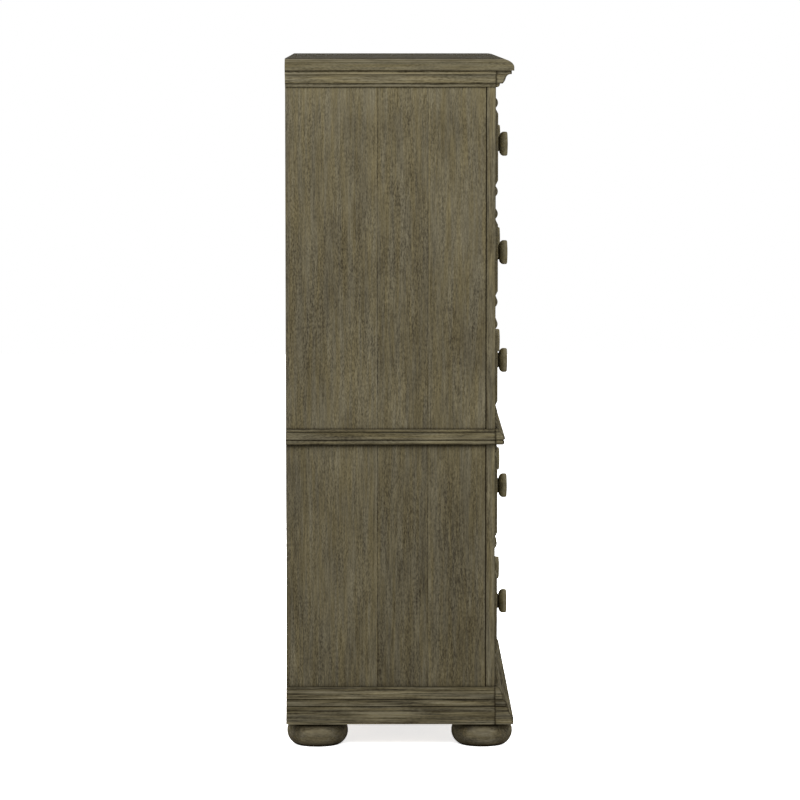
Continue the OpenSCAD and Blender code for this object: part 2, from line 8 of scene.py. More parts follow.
# %% Load the cabinet
import json
import math
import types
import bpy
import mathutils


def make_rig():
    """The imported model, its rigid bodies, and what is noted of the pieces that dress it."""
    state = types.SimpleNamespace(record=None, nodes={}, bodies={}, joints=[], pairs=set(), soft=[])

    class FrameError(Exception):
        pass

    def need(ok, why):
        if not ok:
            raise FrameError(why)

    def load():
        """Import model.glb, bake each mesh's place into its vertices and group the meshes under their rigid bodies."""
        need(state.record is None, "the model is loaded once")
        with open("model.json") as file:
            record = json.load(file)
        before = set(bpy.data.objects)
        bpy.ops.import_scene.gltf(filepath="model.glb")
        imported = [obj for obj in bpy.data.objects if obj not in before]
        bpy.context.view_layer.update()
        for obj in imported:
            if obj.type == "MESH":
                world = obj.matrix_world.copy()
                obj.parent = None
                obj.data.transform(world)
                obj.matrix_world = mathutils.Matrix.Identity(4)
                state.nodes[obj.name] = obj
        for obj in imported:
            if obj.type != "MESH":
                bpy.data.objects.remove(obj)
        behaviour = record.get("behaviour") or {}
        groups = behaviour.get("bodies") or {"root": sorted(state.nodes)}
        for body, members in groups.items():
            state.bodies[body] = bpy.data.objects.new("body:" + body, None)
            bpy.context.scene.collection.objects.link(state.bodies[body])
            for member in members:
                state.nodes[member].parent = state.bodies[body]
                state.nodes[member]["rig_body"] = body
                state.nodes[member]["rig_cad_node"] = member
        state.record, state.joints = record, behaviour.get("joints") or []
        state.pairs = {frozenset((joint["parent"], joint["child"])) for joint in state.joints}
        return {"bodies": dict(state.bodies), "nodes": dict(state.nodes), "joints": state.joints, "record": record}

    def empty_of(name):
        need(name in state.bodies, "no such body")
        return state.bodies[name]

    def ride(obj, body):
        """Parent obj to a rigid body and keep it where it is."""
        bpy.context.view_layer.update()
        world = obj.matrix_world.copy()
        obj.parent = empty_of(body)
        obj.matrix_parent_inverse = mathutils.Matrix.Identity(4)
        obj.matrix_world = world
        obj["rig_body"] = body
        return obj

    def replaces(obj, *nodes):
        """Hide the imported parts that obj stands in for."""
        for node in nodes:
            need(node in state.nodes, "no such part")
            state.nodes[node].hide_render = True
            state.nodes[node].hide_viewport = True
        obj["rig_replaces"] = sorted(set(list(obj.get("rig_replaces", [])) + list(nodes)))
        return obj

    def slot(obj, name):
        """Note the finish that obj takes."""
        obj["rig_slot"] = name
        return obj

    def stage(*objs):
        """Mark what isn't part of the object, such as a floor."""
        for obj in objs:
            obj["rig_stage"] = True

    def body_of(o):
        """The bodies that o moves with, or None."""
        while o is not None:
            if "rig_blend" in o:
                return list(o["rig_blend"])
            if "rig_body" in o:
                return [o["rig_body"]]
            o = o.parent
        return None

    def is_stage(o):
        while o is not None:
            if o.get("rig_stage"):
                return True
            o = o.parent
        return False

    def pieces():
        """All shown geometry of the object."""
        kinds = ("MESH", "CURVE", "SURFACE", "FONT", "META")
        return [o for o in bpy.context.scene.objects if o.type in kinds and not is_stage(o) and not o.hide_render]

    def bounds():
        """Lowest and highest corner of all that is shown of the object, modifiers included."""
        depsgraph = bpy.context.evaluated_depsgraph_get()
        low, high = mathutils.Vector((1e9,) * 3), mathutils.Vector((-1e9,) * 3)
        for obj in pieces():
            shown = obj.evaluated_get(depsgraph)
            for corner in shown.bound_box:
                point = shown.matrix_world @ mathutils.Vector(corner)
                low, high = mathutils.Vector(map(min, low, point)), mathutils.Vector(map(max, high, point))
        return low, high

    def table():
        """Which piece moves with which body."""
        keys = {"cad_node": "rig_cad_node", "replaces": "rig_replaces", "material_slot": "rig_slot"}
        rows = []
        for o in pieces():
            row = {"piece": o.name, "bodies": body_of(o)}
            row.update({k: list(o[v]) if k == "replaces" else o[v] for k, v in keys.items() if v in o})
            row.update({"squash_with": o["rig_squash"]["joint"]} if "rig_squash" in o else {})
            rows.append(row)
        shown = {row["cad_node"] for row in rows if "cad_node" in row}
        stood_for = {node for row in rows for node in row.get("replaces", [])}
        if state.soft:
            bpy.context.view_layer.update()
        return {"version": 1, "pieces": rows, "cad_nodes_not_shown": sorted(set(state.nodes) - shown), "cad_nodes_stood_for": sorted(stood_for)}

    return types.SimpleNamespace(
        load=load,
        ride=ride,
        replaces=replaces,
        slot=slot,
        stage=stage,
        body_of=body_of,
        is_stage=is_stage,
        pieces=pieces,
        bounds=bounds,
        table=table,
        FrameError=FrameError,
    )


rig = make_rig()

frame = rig.load()
nodes = frame["nodes"]
cad_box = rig.bounds()

import bmesh
import bpy
import numpy as np
from mathutils import Vector

print("nodes:", len(nodes), "box:", [tuple(round(v, 4) for v in corner) for corner in cad_box])

# %% [markdown]
# The photograph was taken from far away with a long lens, from a little higher than the
# chest and looking down by about five degrees, so the top just shows. A lens of 185 mm nearly
# nine metres away gives the same narrow view.

# %% Camera
scene = bpy.context.scene


def aim(item, place, target):
    """Puts a camera or lamp at a place and turns its -Z axis to the target."""
    item.location = place
    item.rotation_euler = (Vector(target) - Vector(place)).to_track_quat("-Z", "Y").to_euler()
    scene.collection.objects.link(item)
    return item


camera = bpy.data.objects.new("camera", bpy.data.cameras.new("camera"))
camera.data.lens = 184.55
camera.data.sensor_width = 36
eye = (-8.7123, 0.0485, 1.4914)
target = (-0.3203, -0.0015, 0.6908)
scene.camera = aim(camera, eye, target)
down = math.atan2(eye[2] - target[2], math.dist(eye[:2], target[:2]))
print("camera looks down", round(math.degrees(down), 1), "degrees")

# %% [markdown]
# Nodes are added by one small function, which takes the kind of node, its inputs in order or
# by name, and its settings. An input may be a number, a colour, another node's output, or a
# whole node, which stands for the first of its outputs that is in use. Colours are written
# as sRGB hex values, as a painter would pick them, and turned to the linear values that the
# renderer works with.


# %% Node and colour helpers
def add(tree, kind, inputs=(), **settings):
    """Adds a node with its settings and inputs, and returns it. It is a shader node unless
    its kind is written in full. Inputs in order count only the sockets that the settings
    leave in use."""
    made = tree.nodes.new(kind if "Node" in kind else "ShaderNode" + kind)
    for name, value in settings.items():
        setattr(made, name, value)
    if isinstance(inputs, dict):
        pairs = [(made.inputs[name], value) for name, value in inputs.items()]
    else:
        pairs = zip([socket for socket in made.inputs if socket.enabled], inputs)
    for socket, value in pairs:
        if isinstance(value, bpy.types.Node):
            value = next(output for output in value.outputs if output.enabled)
        if isinstance(value, bpy.types.NodeSocket):
            tree.links.new(value, socket)
        else:
            socket.default_value = value
    return made


def new_material(name):
    """A material without nodes, and its empty node tree."""
    material = bpy.data.materials.new(name)
    material.use_nodes = True
    material.node_tree.nodes.clear()
    return material, material.node_tree


def linear(code):
    """Linear RGBA of an sRGB hex colour: (c + 0.055) / 1.055 to the power 2.4, or c / 12.92
    for the darkest values."""
    c = np.array([int(code[k:k + 2], 16) for k in (1, 3, 5)]) / 255
    c = np.where(c > 0.04045, ((c + 0.055) / 1.055) ** 2.4, c / 12.92)
    return (*c.tolist(), 1.0)


print("the grey #808080 in linear light:", round(linear("#808080")[0], 3))

# %% [markdown]
# The light is a product studio's: an even white surround, one large soft lamp high on the
# camera's side, which makes the upper half a little brighter, and weaker lamps for the
# front, the back and the far side. The front and back lamps stand high, so that beads and
# mouldings cast soft shadows downwards, and towards the far side, so that round pieces seen
# from the camera keep their dark flanks. The surround is dimmer for diffuse rays than for
# what the camera and reflections see, so the background is white without more light on the
# wood.

# %% Surround and lamps
on_wood, on_camera = 0.42, 1.0
scene.view_settings.view_transform = "Standard"
surround = bpy.data.worlds.new("studio_surround")
surround.use_nodes = True
surround.node_tree.nodes.clear()
tree = surround.node_tree
path = add(tree, "LightPath").outputs
seen = add(tree, "Math", (path["Is Camera Ray"], path["Is Glossy Ray"]), operation="MAXIMUM")
seen = add(tree, "Math", (seen, path["Is Transmission Ray"]), operation="MAXIMUM")
strength = add(tree, "MapRange", {"Value": seen, "To Min": on_wood, "To Max": on_camera})
white = add(tree, "Background", {"Color": linear("#FFFFFF"), "Strength": strength})
add(tree, "OutputWorld", {"Surface": white})
scene.world = surround


def lamp(name, place, target, size, watts):
    """Adds a square soft lamp that no camera sees."""
    light = bpy.data.lights.new(name, "AREA")
    light.size = size
    light.energy = watts
    made = aim(bpy.data.objects.new(name, light), place, target)
    made.visible_camera = False
    print(name, "watts:", watts)


lamp("key_lamp", (-2.6, 0.1, 1.95), (-0.47, 0, 0.95), 1.3, 38)
lamp("front_lamp", (1.2, -2.5, 2.3), (0, -0.2, 0.7), 1.1, 44)
lamp("far_lamp", (3.1, 0.2, 1.25), (0, 0, 0.75), 1.4, 30)
lamp("back_lamp", (1.2, 2.6, 2.0), (0, 0.2, 0.7), 1.4, 36)

# %% [markdown]
# The floor is pale matt paper. For the camera alone it glows a little as well, so that it
# joins the white surround without an edge and keeps a soft pale shadow under the feet. The
# light it throws back on the wood is that of plain pale paper.


# %% Floor
def flat_square(name, half):
    """A square on the ground, its four corners at plus and minus half."""
    mesh = bpy.data.meshes.new(name)
    corners = np.array([(-1, -1, 0), (1, -1, 0), (1, 1, 0), (-1, 1, 0)]) * half
    mesh.from_pydata(corners.tolist(), [], [(0, 1, 2, 3)])
    made = bpy.data.objects.new(name, mesh)
    scene.collection.objects.link(made)
    return made


paper_tone, seen_tone, seen_glow = 0.8, 2.2, 0.72
floor = flat_square("floor", 9.0)
paper, tree = new_material("matt_white_paper")
seen = add(tree, "LightPath").outputs["Is Camera Ray"]
tone = add(tree, "MapRange", {"Value": seen, "To Min": paper_tone, "To Max": seen_tone})
glow = add(tree, "Math", (seen, seen_glow), operation="MULTIPLY")
matt = add(tree, "BsdfDiffuse", {"Color": tone})
glow = add(tree, "Emission", {"Color": linear("#FFFFFF"), "Strength": glow})
both = add(tree, "AddShader", (matt, glow))
add(tree, "OutputMaterial", {"Surface": both})
floor.data.materials.append(paper)
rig.stage(floor)
print("floor:", tuple(round(side) for side in floor.dimensions[:2]), "m")

# %% [markdown]
# Each new surface is a stack of closed rings of points: the outline of a moulding at each
# place along its length, or the circle at each height of a turned foot. Neighbouring rings
# are joined by four-sided faces, and the first and last ring are closed by one flat face.
# Everything is worked out as whole arrays, so no loop visits single points. Two numbers go with each point: one for
# dark glaze in corners together with painted shade, and one for edges rubbed pale together with painted highlights.


# %% A skin over rings of points
def ring_faces(grid, start=0):
    """Faces of a grid (rings, around, 3): point (r, c) joins (r, c + 1), (r + 1, c + 1) and
    (r + 1, c), and the last point of a ring joins its first."""
    rings, around = grid.shape[:2]
    index = start + np.arange(rings * around).reshape(rings, around)
    after = np.roll(index, -1, axis=1)
    quads = np.stack([index[:-1], after[:-1], after[1:], index[1:]], axis=-1)
    return quads.reshape(-1, 4).tolist() + [index[0][::-1].tolist(), index[-1].tolist()]


def make_piece(name, grids, glaze_and_shade_per_grid, wear_and_highlight_per_grid, stands_for, body, slot, sharp=33):
    """One piece from one or more ring grids in metres. It replaces CAD nodes and rides on
    their body. Edges that turn more than `sharp` degrees stay crisp."""
    faces, start = [], 0
    for grid in grids:
        faces += ring_faces(grid, start)
        start += grid.shape[0] * grid.shape[1]
    mesh = bpy.data.meshes.new(name)
    mesh.from_pydata(np.concatenate([g.reshape(-1, 3) for g in grids]).tolist(), [], faces)
    probe = bmesh.new()
    probe.from_mesh(mesh)
    volume = probe.calc_volume(signed=True)
    probe.free()
    if volume < 0:
        mesh.flip_normals()
    mesh.shade_smooth()
    mesh.set_sharp_from_angle(angle=math.radians(sharp))
    # The first number is glaze with painted shade, the second wear with painted highlights.
    for label, values in (("hollow", glaze_and_shade_per_grid), ("worn", wear_and_highlight_per_grid)):
        flat = np.concatenate([np.broadcast_to(v, g.shape[:2]).ravel() for v, g in zip(values, grids)])
        mesh.attributes.new(label, "FLOAT", "POINT").data.foreach_set("value", np.clip(flat, 0, 1))
    made = bpy.data.objects.new(name, mesh)
    scene.collection.objects.link(made)
    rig.ride(made, body)
    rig.replaces(made, *stands_for)
    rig.slot(made, slot)
    print(f"{name}: {len(mesh.polygons)} faces, {abs(volume) * 1e6:.0f} cm3")
    return made


print("two rings of four points make", len(ring_faces(np.zeros((2, 4, 3)))), "faces")

# %% [markdown]
# A moulding is cut by a shaped knife, so it is one outline carried along a straight length.
# The outlines below use the cabinet's own sizes, in millimetres out from the case and up.
# A bow is an arc over a chord. Knives and sandpaper leave no razor edges, so each sharp
# corner is eased with a small curve.


# %% Outline helpers
def bow(start, end, sag, steps=14):
    """Arc over the chord from start to end that stands `sag` to its right: equal steps of
    the angle 4 atan(2 sag / chord), on the circle through both ends. The start is left out."""
    start, end = np.array(start, float), np.array(end, float)
    chord = math.dist(start, end)
    along = (end - start) / chord
    right = np.array([along[1], -along[0]])
    half = 2 * math.atan(2 * sag / chord)
    radius = chord / 2 / math.sin(half)
    centre = (start + end) / 2 + right * (sag - radius)
    a = half * (2 * np.arange(1, steps + 1) / steps - 1)[:, None]
    return centre + radius * (right * np.cos(a) + along * np.sin(a))


def ease(outline, radius, least=20):
    """Replaces each corner that turns more than `least` degrees by a curve: with the corner
    p and the points q and r a little before and after it, (1-t)^2 q + 2t(1-t) p + t^2 r."""
    before, p, after = outline[:-2], outline[1:-1], outline[2:]
    back, fore = before - p, after - p
    lb, lf = np.hypot(*back.T), np.hypot(*fore.T)
    turn = np.pi - np.arccos(np.clip((back * fore).sum(1) / (lb * lf), -1, 1))
    cut = np.minimum(radius * np.tan(turn / 2), 0.4 * np.minimum(lb, lf))
    q, r = p + back * (cut / lb)[:, None], p + fore * (cut / lf)[:, None]
    t = np.linspace(0, 1, 6)[None, :, None]
    curve = (1 - t) ** 2 * q[:, None] + 2 * t * (1 - t) * p[:, None] + t ** 2 * r[:, None]
    keep = np.repeat((turn > math.radians(least))[:, None], 6, axis=1)
    curve[~keep[:, 0]] = p[~keep[:, 0]][:, None]
    keep[:, 0] = True
    return np.concatenate([outline[:1], curve[keep], outline[-1:]])


def refine(outline, step):
    """Adds points so that none is further than about `step` from the next, along it."""
    s = np.concatenate([[0], np.cumsum(np.hypot(*np.diff(outline, axis=0).T))])
    extra = np.arange(0, s[-1], step)
    far = np.abs(extra[:, None] - s[None]).min(1) > step * 0.4
    t = np.sort(np.concatenate([s, extra[far]]))
    return np.stack([np.interp(t, s, outline[:, k]) for k in (0, 1)], axis=1)


print("a bow has", len(bow((0, 0), (10, 0), 2)), "points after its start")

# %% [markdown]
# The cornice under the top is a small bead and an S curve, the waist moulding a half round
# under a rounded slope, and the base three rounded steps over a small cove and a flat foot.
# Their heights and curves were measured in the photograph.


# %% Outlines of the mouldings
def profile(*parts, radius=0.5, step=0.8):
    """Joins parts of an outline, eases it and refines it."""
    whole = np.concatenate([np.atleast_2d(np.array(p, float)) for p in parts])
    return refine(ease(whole, radius), step)


cornice = profile([(0, 0), (1, 0)], bow((1, 0), (7.6, 7), 2.2), (7.6, 7.4), (12.6, 7.4),
                  bow((12.6, 7.4), (19, 18.5), 0.9), bow((19, 18.5), (29.6, 26.5), -2.4),
                  [(30.6, 27.1), (30.6, 33.5), (0, 33.5)])
waist = profile([(0, 0), (14.6, 0)], bow((14.6, 0), (15, 9.3), 3.2), [(16, 10.2), (18.6, 10.8)],
                (19.6, 12.8), bow((19.6, 12.8), (7.4, 23.8), 3.2), [(5.4, 24.2), (6.2, 25.2)],
                bow((6.2, 25.2), (4.8, 30), 0.6, 4), (0, 30))
base = profile([(0, 0), (36.8, 0), (36.8, 13)], bow((36.8, 13), (34.2, 18), 0.6, 6),
               bow((34.2, 18), (28.2, 27), -1.1), bow((28.2, 27), (24.8, 33.4), 1.2),
               [(22.2, 34.6), (24, 35.8)], bow((24, 35.8), (18.2, 47.4), 2.2),
               [(15.8, 48.2), (17.6, 49.4)], bow((17.6, 49.4), (9.6, 70.1), 1.6),
               bow((9.6, 70.1), (7.4, 71.5), 0.5, 6), (0, 71.5))
print("outline points:", len(cornice), len(waist), len(base))

# %% [markdown]
# Glaze is wiped over stained wood and off again. It stays in the corners of a moulding, which also get painted shade,
# and what faces down is darkened with painted shade. It comes off the edges, down to paler stain. Both follow how the
# outline turns: a left turn is an edge, a right turn a corner, and each counts for the points near it. Some lines are
# darker or paler than their corners explain, such as the joint under the top and the lines of the base. They are given
# as bands of an outline, each with its height, its half width and its amount.


# %% Where glaze stays and where it is rubbed off
def glaze_and_shade_of(outline, reach=0.9):
    """Glaze with painted shade, and wear, for each point. The bend adds up the turns at all corners, each times the
    bell exp(-(d / reach)^2) of its distance d along the outline. The glaze is -1.3 bend, or 0.7 (down - 0.55) where
    that is more, with down the outline's way outwards per length: that second part is painted shade on what faces
    down, and the corners get painted shade with their glaze. The wear is 0.8 bend - 0.15."""
    legs = np.diff(outline, axis=0)
    turn = np.diff(np.unwrap(np.arctan2(legs[:, 1], legs[:, 0])))
    s = np.concatenate([[0], np.cumsum(np.hypot(*legs.T))])
    bell = np.exp(-((s[:, None] - s[None, 1:-1]) / reach) ** 2)
    bend = bell @ turn
    down = np.gradient(outline[:, 0], s)
    hollow = np.maximum(-bend * 1.3, 0.7 * (down - 0.55))
    return np.clip(hollow, 0, 1), np.clip(bend * 0.8 - 0.15, 0, 1)


def band(values, middle, half):
    """The bell exp(-((value - middle) / half)^2)."""
    return np.exp(-((values - middle) / half) ** 2)


def bands(values, rows):
    """For each row (middle, half, amount): amount times the bell round its middle."""
    return [amount * band(values, middle, half) for middle, half, amount in rows]


# Bands of glaze with painted shade: where the cornice meets the top and the panel, in the shaded cavetto of the
# cornice, and a painted shadow under the waist moulding.
glaze_and_shade_bands = {
    "cornice": [(33.4, 2.2, 1.5), (30, 2.4, 0.22), (7.6, 1.3, 0.9), (4.8, 2.4, 0.36), (0, 1.2, 1)],
    "waist": [(30, 0.7, 1), (0, 3.0, 1)],
    "base": [(71.5, 1.2, 0.7), (66.5, 3.5, 0.45), (46.2, 2.8, 0.42), (32.4, 2.8, 0.42),
             (25.8, 1.8, 0.85), (14, 5, 0.25)],
}
rubbed_bands = {"cornice": [], "waist": [], "base": [(62, 1.6, 0.45)]}
print("bands of glaze:", {label: len(rows) for label, rows in glaze_and_shade_bands.items()})

# %% [markdown]
# The front length of each moulding goes round both front corners and stops at the face
# frame, where the side length butts against it. Each point of the path moves out along its
# own direction: straight out on a length, and out both ways at a corner, which makes the
# mitre. At the butt joints the ends are chamfered a little and hold dark glaze, which gives
# the thin upright line that the photograph shows there, and a narrow line of glaze marks the
# mitre where the moulding stands out. The returns of the front length are cut from the same
# stick as the side lengths, so a number kept for each face marks where the grain is turned.

# %% Paths round the case
half_w = 471.5
y_front = -193.1
y_back = 229.9
chamfer = 0.7
past_mitre = 2
# Glaze fills the mitre where the outline stands out over 5 mm. The ring before it gets 0.8 of
# that where it stands out over 9 mm.
mitre_from, mitre_shade_from, mitre_shade = 5, 9, 0.8


def carry(outline, x, y, z):
    """Rings of an outline, in metres: ring j has its points at x and y of its row, and at z
    plus the outline's height."""
    return np.dstack([x, y, np.broadcast_to(z + outline[:, 1], x.shape)]) / 1000


def near_joint(distance):
    """Glaze near a joint: the bell exp(-(distance / 2.3 mm)^2)."""
    return band(distance, 0, 2.3)


def mark_faces(piece, **rules):
    """Keeps a number for each face under each name: rule(x, y) of its centre in mm."""
    middles = np.zeros(len(piece.data.polygons) * 3)
    piece.data.polygons.foreach_get("center", middles)
    x, y, _ = middles.reshape(-1, 3).T * 1000
    for label, rule in rules.items():
        marks = rule(x, y).astype(float)
        piece.data.attributes.new(label, "FLOAT", "FACE").data.foreach_set("value", marks)
        print(f"{piece.name}: {int(marks.sum())} faces are {label}")


def at_side(x, y):
    """True where a place stands out further sideways than to the front."""
    return np.abs(x) - half_w > y_front - y


print("case:", 2 * half_w, "mm wide,", round(y_back - y_front, 1), "mm deep")

# %% [markdown]
# A ring of points lies where the surface needs one: close together at the joint, where the
# glaze fades, then on the mitre and just beside it, and far apart where nothing changes. A
# share of the outline's own distance keeps rings from crossing on the short return.


# %% Lengths of moulding
def front_length(name, outline, z, node, glaze):
    """The U-shaped front length. A return has rings min(step, share of the outline's
    distance) away from the joint, then rings max(distance - step, share of it). The last
    ring but one is the mitre, and the last lies 2 mm past it on the front, so that the glaze
    in the mitre stays a narrow line."""
    out = outline[:, 0]
    near = [np.minimum(step, share * out)
            for step, share in ((0, 0), (0.5, 0.1), (1.5, 0.2), (3, 0.3), (6, 0.4))]
    far = [np.maximum(out - step, share * out) for step, share in ((4, 0.7), (2, 0.9), (0, 1), (0, 1))]
    along = np.array(near + far)
    side = half_w + out - chamfer * (along == 0)
    side[-1] -= past_mitre
    x, y = np.concatenate([-side, side[::-1]]), y_front - np.concatenate([along, along[::-1]])
    hollow, worn = glaze
    joint = near_joint(along)
    joint[-2] = np.maximum(joint[-2], out > mitre_from)
    joint[-3] = np.maximum(joint[-3], mitre_shade * (out > mitre_shade_from))
    joint = np.concatenate([joint, joint[::-1]])
    made = make_piece(name, [carry(outline, x, y, z)], [np.maximum(hollow, joint)],
                      [np.broadcast_to(worn, x.shape)], [node], "case", "moulding_wood")
    mark_faces(made, turned=at_side)
    return made


def side_length(name, outline, z, node, glaze, side):
    """A side length, from the joint at the face frame to the back of the case."""
    along = np.array([0, 0.5, 1.5, 3, 6, 60, 200, y_back - y_front])[:, None]
    out = half_w + outline[:, 0] - chamfer * (along == 0)
    x, y = side * out, np.broadcast_to(y_front + along, out.shape)
    hollow, worn = glaze
    return make_piece(name, [carry(outline, x, y, z)], [np.maximum(hollow, near_joint(along))],
                      [np.broadcast_to(worn, x.shape)], [node], "case", "moulding_wood")


mouldings = {}
for label, outline, z in (("cornice", cornice, 1335), ("waist", waist, 616), ("base", base, 49)):
    hollow, worn = glaze_and_shade_of(outline)
    hollow = np.max([hollow] + bands(outline[:, 1], glaze_and_shade_bands[label]), axis=0)
    worn = worn + sum(bands(outline[:, 1], rubbed_bands[label]))
    glaze = hollow, worn
    mouldings[f"{label}_front"] = front_length(f"{label}_front_length", outline, z, f"{label}_front", glaze)
    for place, side in (("left", -1), ("right", 1)):
        mouldings[f"{label}_{place}"] = side_length(
            f"{label}_{place}_length", outline, z, f"{label}_{place}", glaze, side)

# %% [markdown]
# The top board is a veneered panel with solid edging, mitred at the front corners, on the
# front and both sides. The edging is rounded: a quarter of a flat ellipse over a short
# upright face. Its rings run round the whole board, so here the outline gives the height of
# each ring and how far it stands out. The back edge stays flush with the back of the case.
# Its faces are marked too: the flat middle, which is painted darker and greyer than the edging as shade, and the
# edging at the sides, whose grain is turned to run front to back. Along the rounded edge the photograph shows two thin
# rubbed lines, painted pale as wear with a painted highlight, faint lines of glaze between and below them, and thick
# glaze with painted shade where the board meets the cornice.

# %% Top board
top_z = 1368.5
top_over, edge_w, top_t, edge_drop = 35.5, 30.0, 24.0, 17.5
a = np.radians(np.linspace(0, 90, 40))
edge = np.stack([top_over - edge_w * (1 - np.cos(a)), top_t - edge_drop * (1 - np.sin(a))], axis=1)
edge = profile([(20, 0), (top_over, 0)], edge, [(3, top_t), (0, top_t), (-6, top_t)], radius=0.8)
rubbed_from = 8
flat_to = 20.5


def top_rings(outline, z, corner_r=2):
    """Closed rings round the board: corner k of ring i stands out by the outline's distance
    i, the two front corners both ways and the two back corners sideways only. A front corner
    is rounded: corner_r (1 - cos t) in from one side and corner_r (1 - sin t) from the other."""
    turn = np.radians(np.linspace(0, 90, 7))
    round_left = np.stack([corner_r - corner_r * np.cos(turn), corner_r - corner_r * np.sin(turn)], axis=1)
    corner = np.array([-half_w, y_front])
    left = np.concatenate([[(-half_w, y_back)], corner + round_left])
    right = left[::-1] * [-1, 1]
    start = np.concatenate([left, right])
    outward = np.array([(-1.0, 0)] + [(-1.0, -1)] * 7 + [(1.0, -1)] * 7 + [(1.0, 0)])
    plan = start[None] + outline[:, None, :1] * outward[None]
    up = np.broadcast_to(z + outline[:, 1:], plan.shape[:2])
    return np.dstack([plan, up]) / 1000


def in_middle(x, y):
    """True on the flat middle, which reaches out past the case to where the edge rounds off."""
    return np.maximum(np.abs(x) - half_w, y_front - y) < flat_to


hollow, worn = glaze_and_shade_of(edge)
out, up = edge.T
# Two thin lines rubbed pale with a painted highlight on the rounded edge, faint glaze lines, and glaze with painted
# shade where the board sits on the cornice.
pale_rubbing_and_highlight = sum(bands(up, [(21.6, 0.9, 1.6), (18.4, 1.1, 0.7)])) * (out > rubbed_from)
glaze_and_shade_lines = sum(bands(up, [(20.3, 0.7, 0.4), (16.7, 0.8, 0.3), (0, 1.3, 1)]))
top_board = make_piece("top_board", [top_rings(edge, top_z)], [np.maximum(hollow, glaze_and_shade_lines)[:, None]],
                       [np.maximum(worn, pale_rubbing_and_highlight)[:, None]], ["top_panel"], "case", "top_wood", sharp=40)
mark_faces(top_board, turned=at_side, flat=in_middle)

# %% [markdown]
# Feet and knobs are turned on a lathe, so each is an outline of radius and height that goes once round. A foot is a
# flattened ball cut flat at both ends. It is painted dark under the base moulding and near the floor, as shadow. On
# each of its four sides a wide oval is painted lighter, most of all in its upper half, as the light falling on it, and
# the painted shade is thicker outside it.


# %% Feet
def turn_rings(outline, around):
    """Circles of an outline's radii at its heights, in equal steps round the axis Z."""
    angle = 2 * np.pi * np.arange(around) / around
    r, z = outline[:, :1], outline[:, 1:]
    return np.dstack([r * np.cos(angle), r * np.sin(angle), np.broadcast_to(z, (len(r), around))])


def ramp(values, start, end):
    """(value - start) / (end - start), kept between 0 and 1."""
    return np.clip((values - start) / (end - start), 0, 1)


bun_r, foot_r, bun_z, foot_h, foot_around = 30.7, 62.0, 27.5, 49.0, 96
low, high = math.asin(bun_z / bun_r), math.asin((foot_h - bun_z) / bun_r)
a = np.linspace(-low, high, 40)
ball = np.stack([foot_r - bun_r + bun_r * np.cos(a), bun_z + bun_r * np.sin(a)], axis=1)
foot_outline = profile([(ball[0, 0] - 6, 0)], ball, [(ball[-1, 0] - 6, foot_h)], radius=1.2)
foot_grid = turn_rings(foot_outline, foot_around)
height = foot_outline[:, 1:]
angle = 2 * np.pi * np.arange(foot_around) / foot_around
off_axis = foot_outline[:, :1] * ((angle + np.pi / 4) % (np.pi / 2) - np.pi / 4)
oval_half, oval_z, oval_tall = 38, 25, 15
oval = np.hypot(off_axis / oval_half, (height - oval_z) / oval_tall)
# Painted shadow under the base moulding, painted shade near the floor and on the flanks outside the ovals, and painted
# light inside them.
painted_shadow_under_base = np.minimum(ramp(height, 40, 46), 0.9)
hollow = painted_shadow_under_base + 0.7 * band(height, 0, 6) + 0.3 * ramp(oval, 0.75, 1.35)
painted_light_ovals = 0.5 * ramp(oval, 1.05, 0.85) * np.maximum(ramp(height, 18, 34), 0.1)
foot_x, foot_y = 445.7, 167.3
feet = {}
for place, x, y in (("front_left", -foot_x, -foot_y), ("front_right", foot_x, -foot_y),
                    ("back_left", -foot_x, foot_y), ("back_right", foot_x, foot_y)):
    feet[place] = make_piece(f"turned_foot_{place}", [(foot_grid + [x, y, 0]) / 1000], [hollow],
                             [painted_light_ovals], [f"foot_{place}"], "case", "foot_wood")

# %% [markdown]
# Both knobs of a drawer are one piece, because they move as one. The outline starts at the drawer front: a foot ring,
# a narrow neck, and a full head with a rounded back, an even rim and a nearly flat face, as the enlarged photograph
# shows it. Swapping the axes lays the knob down, so that it points to the front. Glaze and painted shade darken it
# behind the head, where a rag hardly reaches, and the rim is rubbed pale by hands and carries a painted highlight. The
# points near the middle are left out, so that one flat face closes the end.

# %% Knobs
ring, neck, head, reach = 17.25, 14.75, 24.75, 25.0
waist_line, back_rim, front_rim = (neck + 0.2, 7.4), (head, 14.6), (head, reach - 4.6)
face = (head - 3.6, reach - 0.8)
closed_r, rim_r, rim_out, rim_half, glaze_and_shade_behind_head = 4, 19, 20, 3.5, 0.85
knob_outline = profile(
    [(ring - 5, 0), (ring, 0), (ring, 3.3)], bow((ring, 3.3), waist_line, -0.6, 10),
    bow(waist_line, back_rim, 1.9), bow(back_rim, front_rim, 0.2, 6),
    bow(front_rim, face, 1.3, 10), bow(face, (0, reach), 0.2, 10), radius=0.4, step=1.0)
knob_outline = knob_outline[knob_outline[:, 0] > closed_r]
knob_grid = turn_rings(knob_outline, 72)[..., [0, 2, 1]] * [1, -1, 1]
wide, out = knob_outline.T
# Glaze with painted shade behind the head; the rim is rubbed pale with a painted highlight.
hollow = glaze_and_shade_behind_head * ramp(out, 13.5, 6.5)
worn = band(out, rim_out, rim_half) * (wide > rim_r)
knob_x, knob_y = 256, y_front - 5.7
knob_heights = (1214.75, 991.25, 767.75, 507.0, 265.0)
knobs = {}
for number, z in enumerate(knob_heights, 1):
    pair = [(knob_grid + [x, knob_y, z]) / 1000 for x in (-knob_x, knob_x)]
    knobs[number] = make_piece(f"turned_knobs_{number}", pair, [hollow[:, None]] * 2, [worn[:, None]] * 2,
                               [f"drawer_{number}_knobs"], f"drawer_{number}", "knob_wood")

